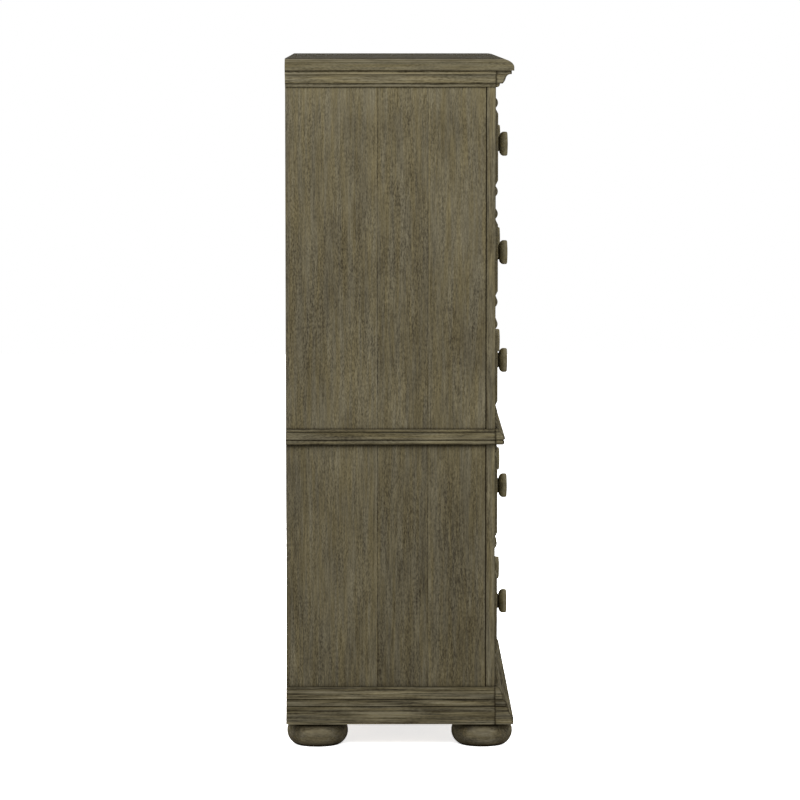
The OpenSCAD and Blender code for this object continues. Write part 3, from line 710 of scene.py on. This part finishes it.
# %% [markdown]
# The flat boards, the drawer boxes and the drawer fronts keep their CAD solids, because
# their joints are exact. Real boards have eased edges, so each gets a small bevel. The CAD
# mesh is made of loose triangles, so a Weld modifier joins them first, and the mesh itself
# isn't touched. On the drawer fronts a small node group shades the round beads smooth and
# leaves every edge of more than 15 degrees crisp.


# %% Smooth beads
def smooth_nodes(limit):
    """Geometry nodes that shade faces smooth and keep edges over `limit` degrees sharp."""
    group = bpy.data.node_groups.new("shade_beads_smooth", "GeometryNodeTree")
    for way in ("INPUT", "OUTPUT"):
        group.interface.new_socket("Geometry", in_out=way, socket_type="NodeSocketGeometry")
    mesh = add(group, "NodeGroupInput").outputs["Geometry"]
    faces = add(group, "GeometryNodeSetShadeSmooth", {"Geometry": mesh})
    angle = add(group, "GeometryNodeInputMeshEdgeAngle").outputs["Unsigned Angle"]
    gentle = add(group, "FunctionNodeCompare", (angle, math.radians(limit)), operation="LESS_THAN")
    edges = add(group, "GeometryNodeSetShadeSmooth", {"Geometry": faces, "Shade Smooth": gentle},
                domain="EDGE")
    add(group, "NodeGroupOutput", {"Geometry": edges})
    return group


bead_shading = smooth_nodes(15)
print("nodes that shade beads:", len(bead_shading.nodes))

# %% [markdown]
# Boards are eased with half a millimetre, as a few strokes of sandpaper leave them. The
# dovetailed sides and backs of the drawer boxes get less, or their joints would look open.


# %% Eased edges on the boards
def soften(board, width, smooth=False):
    """Welds a CAD board's triangles and rounds its sharp edges by `width` millimetres."""
    weld = board.modifiers.new("weld", "WELD")
    weld.merge_threshold = 0.00001
    bevel = board.modifiers.new("eased_edges", "BEVEL")
    bevel.width = width / 1000
    bevel.segments = 2
    bevel.limit_method = "ANGLE"
    bevel.angle_limit = math.radians(25)
    if smooth:
        board.modifiers.new("shading", "NODES").node_group = bead_shading


stood_for = {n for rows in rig.table()["pieces"] for n in rows.get("replaces", [])}
boards = {name: piece for name, piece in nodes.items() if name not in stood_for}
metal = [name for name in boards if "screws" in name or "bolts" in name]
for name, piece in boards.items():
    if name not in metal:
        soften(piece, 0.3 if "sides" in name or "back" in name else 0.5, "front" in name)
print("boards with eased edges:", len(boards) - len(metal))

# %% [markdown]
# The finish is what the eye sees first. Such chests are made of a plain, fine-pored wood,
# as solid pieces and veneer, stained grey-brown, wiped with a darker brown glaze that stays
# in the pores and corners, and sealed with a dead matt lacquer. The pattern is built from
# what wood is made of: broad clouds of colour, long bands, streaks, fine fibres and short
# open pores, all drawn out along the grain. Each is a layer: its width and length in
# millimetres, how much detail it has, and how far it moves the tone to either side. Pores
# are really 0.3 mm wide and a few millimetres long. They are drawn 2 mm wide here, since a
# pixel of the render is that large.

# %% Layers of the pattern
VENEER = {"cloud": (90, 150, 1, 0.08), "band": (17, 280, 2, 0.06), "streak": (5, 50, 1, 0.095),
          "fibre": (2.3, 45, 1, 0.115), "pore": (2.1, 6, 1, 0.22)}
SOLID = {"cloud": (60, 120, 1, 0.1), "band": (12, 300, 2, 0.14), "streak": (6, 80, 1, 0.2),
         "fibre": (2.3, 45, 1, 0.17), "pore": (2.1, 7, 1, 0.18)}
MOULDED = {"cloud": (60, 200, 1, 0.08), "band": (12, 300, 2, 0.12), "streak": (5, 120, 1, 0.3),
           "fibre": (2.3, 60, 1, 0.26), "pore": (2.1, 9, 1, 0.13)}
TURNED = {"cloud": (26, 44, 2, 0.16), "band": (12, 60, 2, 0.1), "streak": (4, 36, 2, 0.2),
          "fibre": (2.4, 18, 1, 0.18), "pore": (2.1, 4, 1, 0.12)}
print("the veneer's pores:", VENEER["pore"][0], "mm wide,", VENEER["pore"][1], "mm long")

# %% [markdown]
# A noise texture has round grains. Its coordinates are multiplied by more copies a metre
# across the grain than along it, which draws the grains out to their width and length. A
# Map Range node then turns the noise into moves of the tone. Its inputs come in order: the
# value, its low and high end, and what these two ends become.

# %% Noise along the grain
SOFT = {"interpolation_type": "SMOOTHSTEP"}


def stretched(axis, across, along):
    """The value `across` on two axes and `along` on the axis of the grain."""
    three = [across] * 3
    three["XYZ".index(axis)] = along
    return three


def drawn_out(tree, place, axis, width, length, detail, rough=0.5):
    """Noise drawn out along the grain, its grains `width` by `length` millimetres."""
    copies = stretched(axis, 1000 / width, 1000 / length)
    moved = add(tree, "VectorMath", (place, copies), operation="MULTIPLY")
    return add(tree, "TexNoise", {"Vector": moved, "Scale": 1.0, "Detail": detail, "Roughness": rough})


def wood_grain(tree, place, axis, layers):
    """The noise of each layer, and how far it moves the tone: its usual values, 0.2 to 0.8,
    become minus to plus the layer's last number."""
    grain = {part: drawn_out(tree, place, axis, *layer[:3]) for part, layer in layers.items()}
    moves = {part: add(tree, "MapRange", (grain[part], 0.2, 0.8, -layer[3], layer[3]), **SOFT)
             for part, layer in layers.items()}
    return grain, moves


def add_up(tree, *values):
    """The sum of numbers and nodes."""
    result = values[0]
    for value in values[1:]:
        result = add(tree, "Math", (result, value), operation="ADD")
    return result


def end_grain(tree, axis):
    """How squarely a face cuts the grain: the size of its normal's part along the axis."""
    normal = add(tree, "NewGeometry").outputs["Normal"]
    along = add(tree, "VectorMath", (normal, stretched(axis, 0, 1)), operation="DOT_PRODUCT")
    return add(tree, "Math", (along,), operation="ABSOLUTE")


# %% [markdown]
# The stain takes in two ways: browner in some bands and greyer in others, whatever their tone. Streaks are mostly
# paler than the wood round them, and the pores stand denser in some places. End grain drinks more stain and turns
# darker. What only one kind of piece shows comes in as additions: to the tone, to the glaze and painted shade, to the
# strength of the pores, or a part painted darker and greyer as shade.

# %% Stain
DARK_GLAZE_AND_SHADE = "#262014"
BROWNER = "#FFF9E6"
TOP_PAINTED_SHADE = "#B6B7C0"
# Width and length in millimetres, detail and, for the bands, roughness.
DENSER_PORES, BROWN_BANDS = (24, 130, 2), (9, 180, 3, 0.6)
print("brown bands keep", round(linear(BROWNER)[2], 2), "of the blue light")


def stain(tree, place, axis, dark, light, layers, added):
    """The stained wood's colour: dark to light by the sum of its layers, then browner in
    bands and darker at the ends. Returns it and the layers' noises."""
    grain, moves = wood_grain(tree, place, axis, layers)
    dense = drawn_out(tree, place, axis, *DENSER_PORES)
    dense = add(tree, "MapRange", (dense, 0.35, 0.65, 0.6, 1.25), **SOFT)
    dense = add(tree, "Math", (dense, added.get("pores", 1.0)), operation="MULTIPLY")
    moves["pore"] = add(tree, "Math", (moves["pore"], dense), operation="MULTIPLY")
    swing = layers["streak"][3]
    moves["streak"] = add(tree, "MapRange", (grain["streak"], 0.4, 0.85, -0.2 * swing, 1.8 * swing), **SOFT)
    tone = add_up(tree, *moves.values(), added.get("tone", 0.0), 0.5)
    colour = add(tree, "Mix", (tone, linear(dark), linear(light)), data_type="RGBA")
    brown = add(tree, "MapRange", (drawn_out(tree, place, axis, *BROWN_BANDS), 0.34, 0.66), **SOFT)
    # The top's flat middle is multiplied by a grey-blue tint: painted shade.
    for part, tint in ((brown, BROWNER), (added.get("darker"), TOP_PAINTED_SHADE)):
        if part is not None:
            colour = add(tree, "Mix", (part, colour, linear(tint)), data_type="RGBA", blend_type="MULTIPLY")
    ends = add(tree, "MapRange", (end_grain(tree, axis), 0.75, 0.95, 0, added.get("ends", 0.2)), **SOFT)
    colour = add(tree, "Mix", (ends, colour, linear(DARK_GLAZE_AND_SHADE)), data_type="RGBA")
    return colour, grain


# %% [markdown]
# Rubbed edges, painted highlights, glaze and painted shade follow the numbers that each shaped piece carries. Edges
# show their rubbing in patches, where a hand or a box went along, and there the glaze is thinner too. On every piece
# the wood is also darkened where a place is closed in, within 7 mm of a corner, which Blender's Ambient Occlusion node
# finds: painted shade together with the glaze that gathers there.

# %% Rubbed edges and glaze
PALE_WEAR_AND_HIGHLIGHT = "#9C9379"
PATCHES = (9, 45, 2)
CORNER_SHADE_REACH = 0.007
print("rubbed edges reflect", round(linear(PALE_WEAR_AND_HIGHLIGHT)[0] / linear(DARK_GLAZE_AND_SHADE)[0]), "times as much as glaze")


def wipe(tree, colour, place, axis, grain, added):
    """The stain's colour with pale rubbed edges and painted highlights, and dark glaze and painted shade over it."""
    patches = drawn_out(tree, place, axis, *PATCHES)
    worn = add(tree, "Attribute", attribute_name="worn").outputs["Fac"]
    pale_rubbing_and_highlight = add(tree, "MapRange", (patches, 0.3, 0.65, 0.3, 0.75), **SOFT)
    worn = add(tree, "Math", (worn, pale_rubbing_and_highlight), operation="MULTIPLY")
    colour = add(tree, "Mix", (worn, colour, linear(PALE_WEAR_AND_HIGHLIGHT)), data_type="RGBA")
    hollow = add(tree, "Attribute", attribute_name="hollow").outputs["Fac"]
    thick = add(tree, "MapRange", (patches, 0.3, 0.65, 1.05, 0.7), **SOFT)
    hollow = add(tree, "Math", (hollow, thick), operation="MULTIPLY")
    # Painted shade in recesses, found by ambient occlusion, added to the glaze.
    corner = add(tree, "AmbientOcclusion", {"Distance": CORNER_SHADE_REACH}, samples=6).outputs["AO"]
    corner = add(tree, "MapRange", (corner, 0.9, 0.35, 0, added.get("corner", 0.65)), **SOFT)
    glaze = add_up(tree, hollow, corner, added.get("glaze", 0.0))
    uneven = add(tree, "MapRange", (grain["pore"], 0.3, 0.7, 1.0, 0.8), **SOFT)
    glaze = add(tree, "Math", (glaze, uneven), operation="MULTIPLY")
    glaze = add(tree, "Math", (glaze, 0.95), operation="MINIMUM")
    return add(tree, "Mix", (glaze, colour, linear(DARK_GLAZE_AND_SHADE)), data_type="RGBA")


# %% [markdown]
# The last coat is a dead matt lacquer. A lacquer's index of refraction is about 1.5, but the
# photograph shows no gloss at all, so the roughness is high and its mirror part nearly off.
# Fibres and pores stand in it as a relief of under half a millimetre. The rails of the face
# frame are the plainest pieces, solid wood with its grain across, and get theirs at once.

# %% Stained wood
DARK, LIGHT = "#363128", "#807963"


def stained_wood(name, axis, dark, light, layers, extra=None, shift=0.0):
    """Grey-brown stained and glazed wood with its grain along an axis. `extra` gives what
    only one kind of piece shows, and `shift` moves the pattern, so that each wood differs."""
    material, tree = new_material(name)
    place = add(tree, "TexCoord").outputs["Object"]
    place = add(tree, "VectorMath", (place, (shift, shift * 0.7, shift * 1.3)), operation="ADD")
    added = extra(tree, place) if extra else {}
    place = added.get("place", place)
    colour, grain = stain(tree, place, axis, dark, light, layers, added)
    colour = wipe(tree, colour, place, axis, grain, added)
    height = add_up(tree, grain["fibre"], grain["pore"])
    bump = add(tree, "Bump", {"Height": height, "Strength": 0.3, "Distance": 0.0004})
    coat = add(tree, "BsdfPrincipled", {"Base Color": colour, "Roughness": 0.92, "IOR": 1.5,
                                        "Specular IOR Level": 0.008, "Normal": bump})
    add(tree, "OutputMaterial", {"Surface": coat})
    print(f"{name}: {len(tree.nodes)} nodes")
    return material


woods = {"rail": stained_wood("stained_solid_across", "X", DARK, LIGHT, SOLID, shift=2.0)}

# %% [markdown]
# Each side of the case is veneered with upright leaves of slightly different tone that meet at straight seams. The
# middle leaf shows a faint cathedral figure, where the knife cut through the year rings at a flat angle: nested
# parabolas. The chest's lower half is a shade darker and its pores show less, a band at middle height is painted a
# little darker as shade, and just below the cornice and the waist moulding the panel is lighter. Where the panel meets
# the cornice and the waist moulding, glaze and painted shadow darken it, most of all under the waist moulding, and
# less than elsewhere above the base. Where the panel meets the face frame, two small chamfers make a groove, which the
# glaze fills, and the panel's edge beside it is rubbed a little paler.


# %% Side veneer
def own_axes(tree):
    """The piece's own X, Y and Z."""
    return add(tree, "SeparateXYZ", (add(tree, "TexCoord").outputs["Object"],)).outputs


def distance(tree, value, place):
    """How far a value is from a place."""
    away = add(tree, "Math", (value, place), operation="SUBTRACT")
    return add(tree, "Math", (away,), operation="ABSOLUTE")


def line_at(tree, value, middle, half, amount):
    """`amount` where a value is at its middle, falling to nothing `half` away from it."""
    return add(tree, "MapRange", (distance(tree, value, middle), half * 0.3, half, amount, 0), **SOFT)


def cathedral(tree, place, y, z, middle=-0.006, bend=260, tall=0.055):
    """Nested parabolas: sin(2 pi (z + bend (y - middle)^2 + wobble) / tall), in metres, which
    fade 45 mm to either side of the middle."""
    aside = add(tree, "Math", (y, middle), operation="SUBTRACT")
    aside = add(tree, "Math", (aside, aside), operation="MULTIPLY")
    bent = add(tree, "Math", (aside, bend), operation="MULTIPLY")
    wobble = add(tree, "Math", (drawn_out(tree, place, "Z", 40, 160, 2), 0.16), operation="MULTIPLY")
    rise = add_up(tree, z, bent, wobble)
    wave = add(tree, "Math", (rise, 2 * math.pi / tall), operation="MULTIPLY")
    wave = add(tree, "Math", (wave,), operation="SINE")
    return add(tree, "Math", (wave, line_at(tree, y, middle, 0.045, 0.035)), operation="MULTIPLY")


def groove(tree, y):
    """Glaze in the groove between side panel and stile."""
    return line_at(tree, y, -0.1741, 0.0019, 1.3)


def veneer_leaves(tree, place):
    """Tone steps, grain jumps and seams of the veneer, its figure, the lighter bands and a band of painted shade, and
    glaze with painted shadow along the mouldings. Each seam and joint has its place, its half width and its amount, in
    metres."""
    axes = own_axes(tree)
    y, z = axes["Y"], axes["Z"]
    lower = add(tree, "Math", (z, 0.63), operation="LESS_THAN")
    tone, leaf = 0.0, 0.0
    for seam, step, low_step in ((-0.058, -0.01, -0.01), (0.048, 0.0, 0.06), (0.196, -0.02, 0.0)):
        past = add(tree, "Math", (y, seam), operation="GREATER_THAN")
        leaf = add_up(tree, leaf, past)
        change = add(tree, "Math", (lower, low_step, step), operation="MULTIPLY_ADD")
        tone = add(tree, "Math", (past, change, tone), operation="MULTIPLY_ADD")
    seams = ((0.0475, 0.0018, 0.2), (0.0450, 0.0018, -0.16), (0.056, 0.012, 0.05),
             (-0.0595, 0.0018, 0.17), (-0.057, 0.0018, -0.12), (-0.168, 0.01, 0.04),
             (0.228, 0.008, -0.08))
    under_waist = add(tree, "MapRange", (z, 0.52, 0.6, -0.1, -0.06), **SOFT)
    # A band round 0.88 m high is painted darker as shade; the panel is lighter just below the cornice and darker below
    # the waist.
    tone = add_up(tree, tone, *(line_at(tree, y, *seam) for seam in seams),
                  cathedral(tree, place, y, z), line_at(tree, z, 0.88, 0.22, -0.07),
                  add(tree, "MapRange", (z, 1.24, 1.33, -0.02, 0.14), **SOFT),
                  add(tree, "Math", (lower, under_waist), operation="MULTIPLY"))
    jump = add(tree, "Math", (leaf, 3.7), operation="MULTIPLY")
    # Glaze and painted shadow where the panel meets the cornice and the waist moulding, deepest under the waist; above
    # the base the glaze is lessened.
    joints = ((1.335, 0.004, 0.4), (0.646, 0.004, 0.2), (0.616, 0.009, 0.7), (0.1205, 0.004, -0.3))
    return {"place": add(tree, "VectorMath", (place, jump), operation="ADD"), "tone": tone,
            "pores": add(tree, "Math", (lower, -0.12, 1.0), operation="MULTIPLY_ADD"),
            "glaze": add_up(tree, groove(tree, y), *(line_at(tree, z, *joint) for joint in joints))}


woods["side"] = stained_wood("stained_veneer_upright", "Z", DARK, LIGHT, VENEER, veneer_leaves)

# %% [markdown]
# The stiles carry the other half of the groove and a dark front edge of glaze and painted shade, but only on the sides
# that look out, and they are lighter near the top.


# %% Stiles
def stile_sides(tree, place):
    """The groove, the dark front edge of glaze and painted shade, and the tone, for the sides of the stiles alone."""
    axes = own_axes(tree)
    y, z = axes["Y"], axes["Z"]
    normal = add(tree, "NewGeometry").outputs["Normal"]
    facing = add(tree, "SeparateXYZ", (normal,)).outputs["X"]
    sideways = add(tree, "Math", (facing,), operation="ABSOLUTE")
    # The dark front edge is glaze together with painted shade beside the drawer fronts.
    glaze_and_shade_lines = add_up(tree, groove(tree, y), line_at(tree, y, -0.1931, 0.0018, 0.5))
    tone = add_up(tree, add(tree, "MapRange", (z, 0.55, 0.7, -0.03, -0.13), **SOFT),
                  add(tree, "MapRange", (z, 1.15, 1.3, 0, 0.36), **SOFT))
    return {"tone": add(tree, "Math", (tone, sideways), operation="MULTIPLY"),
            "glaze": add(tree, "Math", (glaze_and_shade_lines, sideways), operation="MULTIPLY")}


woods["stile"] = stained_wood("stained_solid_upright", "Z", DARK, LIGHT, SOLID, stile_sides, 1.0)

# %% [markdown]
# The top's edging and the mouldings run round corners, so on faces whose grain is turned the
# pattern's X and Y change places. Their ends are mitred or hidden, so no end grain shows. The
# dark tone of cornice and base is deeper than the boards', and the light tones are paler.

# %% Top and mouldings
DARK_MOULDING, LIGHT_MOULDING = "#2E2A22", "#837C66"
LIGHT_WAIST, LIGHT_TOP = "#857E66", "#837C64"


def turn_grain(tree, place):
    """The place with X and Y changed over on faces whose grain is turned."""
    turned = add(tree, "Attribute", attribute_name="turned").outputs["Fac"]
    axes = add(tree, "SeparateXYZ", (place,)).outputs
    across = add(tree, "CombineXYZ", (axes["Y"], axes["X"], axes["Z"]))
    return add(tree, "Mix", (turned, place, across), data_type="VECTOR")


def top_edging(tree, place):
    """The top: its flat middle is painted darker and greyer than its edging, as shade, and the edging's pores are
    fainter.
    """
    flat = add(tree, "Attribute", attribute_name="flat").outputs["Fac"]
    return {"place": turn_grain(tree, place), "tone": 0.03, "darker": flat, "ends": 0.0,
            "pores": add(tree, "MapRange", (flat, 0, 1, 0.65, 1), **SOFT)}


def moulding_tone(tree, place):
    """The cornice is painted lighter than the mouldings below it, as light from above, its pores stand out more, and
    the foot of the base is darkest."""
    z = own_axes(tree)["Z"]
    painted_light_near_top = add(tree, "MapRange", (z, 1.2, 1.34, 0, 0.2), **SOFT)
    return {"place": turn_grain(tree, place), "ends": 0.0,
            "tone": add_up(tree, painted_light_near_top, line_at(tree, z, 0.07, 0.06, -0.1)),
            "pores": add(tree, "MapRange", (z, 1.2, 1.34, 1.0, 2.2), **SOFT)}


woods["top"] = stained_wood("stained_top_veneer", "X", DARK, LIGHT_TOP, VENEER, top_edging, 6.0)
for length, axis, shift in (("side", "Y", 4.0), ("front", "X", 5.0)):
    woods[length + "_moulding"] = stained_wood(
        f"stained_{length}_moulding", axis, DARK_MOULDING, LIGHT_MOULDING, MOULDED, moulding_tone, shift)
    woods[length + "_waist"] = stained_wood(
        f"stained_{length}_waist", axis, DARK, LIGHT_WAIST, SOLID, moulding_tone, shift + 5)

# %% [markdown]
# On a drawer front, glaze fills the V between the bead and the bevel, 21 mm from the upper
# and the lower edge, and the edges of the raised field are rubbed, 32.5 mm from them. The
# five fronts share one material, so it knows where each of them starts and how tall it is.


# %% Drawer fronts
FRONTS = ((1.114, 0.1995), (0.8905, 0.1995), (0.667, 0.1995), (0.398, 0.216), (0.156, 0.216))
TO_V, TO_FIELD = 0.021, 0.0325


def nearest_line(tree, value, inset):
    """How far a height is from the nearest line that lies `inset` inside a front's upper or
    lower edge."""
    least = 1.0
    for low, tall in FRONTS:
        for line in (low + inset, low + tall - inset):
            least = add(tree, "Math", (least, distance(tree, value, line)), operation="MINIMUM")
    return least


def drawer_front(tree, place):
    """Glaze in the V beside each bead, and the rubbed edges of each raised field."""
    z = own_axes(tree)["Z"]
    folds, edges = nearest_line(tree, z, TO_V), nearest_line(tree, z, TO_FIELD)
    return {"tone": add(tree, "MapRange", (edges, 0.0008, 0.003, 0.2, 0.06), **SOFT),
            "glaze": add(tree, "MapRange", (folds, 0.0005, 0.0042, 0.8, 0), **SOFT),
            "corner": 0.4, "ends": 0.0}


woods["front"] = stained_wood("stained_front_veneer", "X", DARK, LIGHT, VENEER, drawer_front, 3.0)

# %% [markdown]
# Feet and knobs are turned from solid blocks. The lathe cuts across the grain in most places,
# so its bands, streaks and fibres show short. The feet, close to the floor, are a little
# darker than the boards, and the knobs a little lighter.

# %% Turned wood
LIGHT_FOOT, DARK_KNOB, LIGHT_KNOB = "#79725F", "#363026", "#8E8768"
woods["foot"] = stained_wood("stained_turned_foot", "Y", DARK, LIGHT_FOOT, TURNED, shift=7.0)
woods["knob"] = stained_wood("stained_turned_knob", "X", DARK_KNOB, LIGHT_KNOB, TURNED, shift=8.0)

# %% [markdown]
# Inside, nothing is stained. The drawer boxes, runners, cleats and corner blocks are pale
# solid wood with a thin clear lacquer, and the drawer bottoms, the back and the bottom board
# are plywood with an open brown face veneer. Both use the same kind of pattern in their own
# colours. Lacquered wood has a soft gloss, and raw plywood much less.

# %% Bare wood
PLAIN = {"band": (24, 600, 3, 0.22), "streak": (6, 160, 2, 0.14), "fibre": (2.3, 60, 2, 0.22),
         "pore": (1.9, 7, 1, 0.26)}


def bare_wood(name, axis, dark, light, rough, shift):
    """Unstained wood: soft bands, streaks, fibres and faint pores along the grain."""
    material, tree = new_material(name)
    place = add(tree, "TexCoord").outputs["Object"]
    place = add(tree, "VectorMath", (place, (shift, shift, shift)), operation="ADD")
    grain, moves = wood_grain(tree, place, axis, PLAIN)
    tone = add_up(tree, *moves.values(), 0.5)
    colour = add(tree, "Mix", (tone, linear(dark), linear(light)), data_type="RGBA")
    ends = add(tree, "MapRange", (end_grain(tree, axis), 0.75, 0.95, 0, 0.3), **SOFT)
    colour = add(tree, "Mix", (ends, colour, linear(dark)), data_type="RGBA")
    bump = add(tree, "Bump", {"Height": grain["fibre"], "Strength": 0.2, "Distance": 0.0003})
    coat = add(tree, "BsdfPrincipled", {"Base Color": colour, "Roughness": rough, "IOR": 1.5,
                                        "Specular IOR Level": 0.3, "Normal": bump})
    add(tree, "OutputMaterial", {"Surface": coat})
    print(f"{name}: {len(tree.nodes)} nodes")
    return material


woods["box_long"] = bare_wood("lacquered_poplar_lengthwise", "Y", "#A98A5E", "#D6BC8F", 0.45, 0.5)
woods["box_wide"] = bare_wood("lacquered_poplar_across", "X", "#A98A5E", "#D6BC8F", 0.45, 1.5)
woods["ply"] = bare_wood("plywood_across", "X", "#897050", "#B9A078", 0.65, 2.5)
woods["ply_upright"] = bare_wood("plywood_upright", "Z", "#7D684C", "#B09A76", 0.7, 3.5)

# %% [markdown]
# The bolts and screws are zinc-plated steel. The plating is never quite even, so spots under
# 2 mm wide differ a little in grey and in gloss.

# %% Zinc-plated steel
spots_per_mm = 0.6
steel, tree = new_material("zinc_plated_steel")
place = add(tree, "TexCoord").outputs["Object"]
spot = add(tree, "TexVoronoi", {"Vector": place, "Scale": spots_per_mm * 1000}).outputs["Distance"]
grey = add(tree, "Mix", (spot, linear("#B9BDBE"), linear("#9AA0A3")), data_type="RGBA")
rough = add(tree, "MapRange", (spot, 0, 1, 0.28, 0.42), **SOFT)
plate = add(tree, "BsdfPrincipled", {"Base Color": grey, "Roughness": rough, "Metallic": 1.0})
add(tree, "OutputMaterial", {"Surface": plate})
print("fasteners in steel:", metal)

# %% [markdown]
# Last, every piece gets its wood. Which one depends on the way its grain runs: stiles and
# sides upright, rails and fronts across, runners and drawer sides from front to back.

# %% Hand out the woods
by_name = {
    "side_panel": "side", "stile": "stile", "rail": "rail", "back_sheet": "ply_upright",
    "bottom_board": "ply", "runners": "box_long", "cleats": "box_long", "corner_blocks": "box_wide",
    "_front": "front", "_sides": "box_long", "_back": "box_wide", "_bottom": "ply",
}


def dress(piece, material):
    """Makes a material the only one of a piece."""
    piece.data.materials.clear()
    piece.data.materials.append(material)


for name, piece in boards.items():
    if name in metal:
        dress(piece, steel)
    else:
        dress(piece, woods[next(wood for part, wood in by_name.items() if part in name)])
for name, piece in mouldings.items():
    length = "front" if "front" in name else "side"
    dress(piece, woods[length + ("_waist" if "waist" in name else "_moulding")])
dress(top_board, woods["top"])
for piece in feet.values():
    dress(piece, woods["foot"])
for piece in knobs.values():
    dress(piece, woods["knob"])
print("materials:", len(woods) + 1)

# %% [markdown]
# Both boxes, of the dressed and of the measured chest, are written down and compared before the lesson ends.
# The dressed chest must fill the same box as the measured one.

# %% Compare sizes and finish
boxes = {"cad": [list(c) for c in cad_box], "visual": [list(c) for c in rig.bounds()]}
with open("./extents.json", "w") as file:
    json.dump(boxes, file)
grown = np.abs(np.array(boxes["visual"]) - np.array(boxes["cad"])).max()
print("largest difference between the boxes:", round(float(grown) * 1000, 3), "mm")
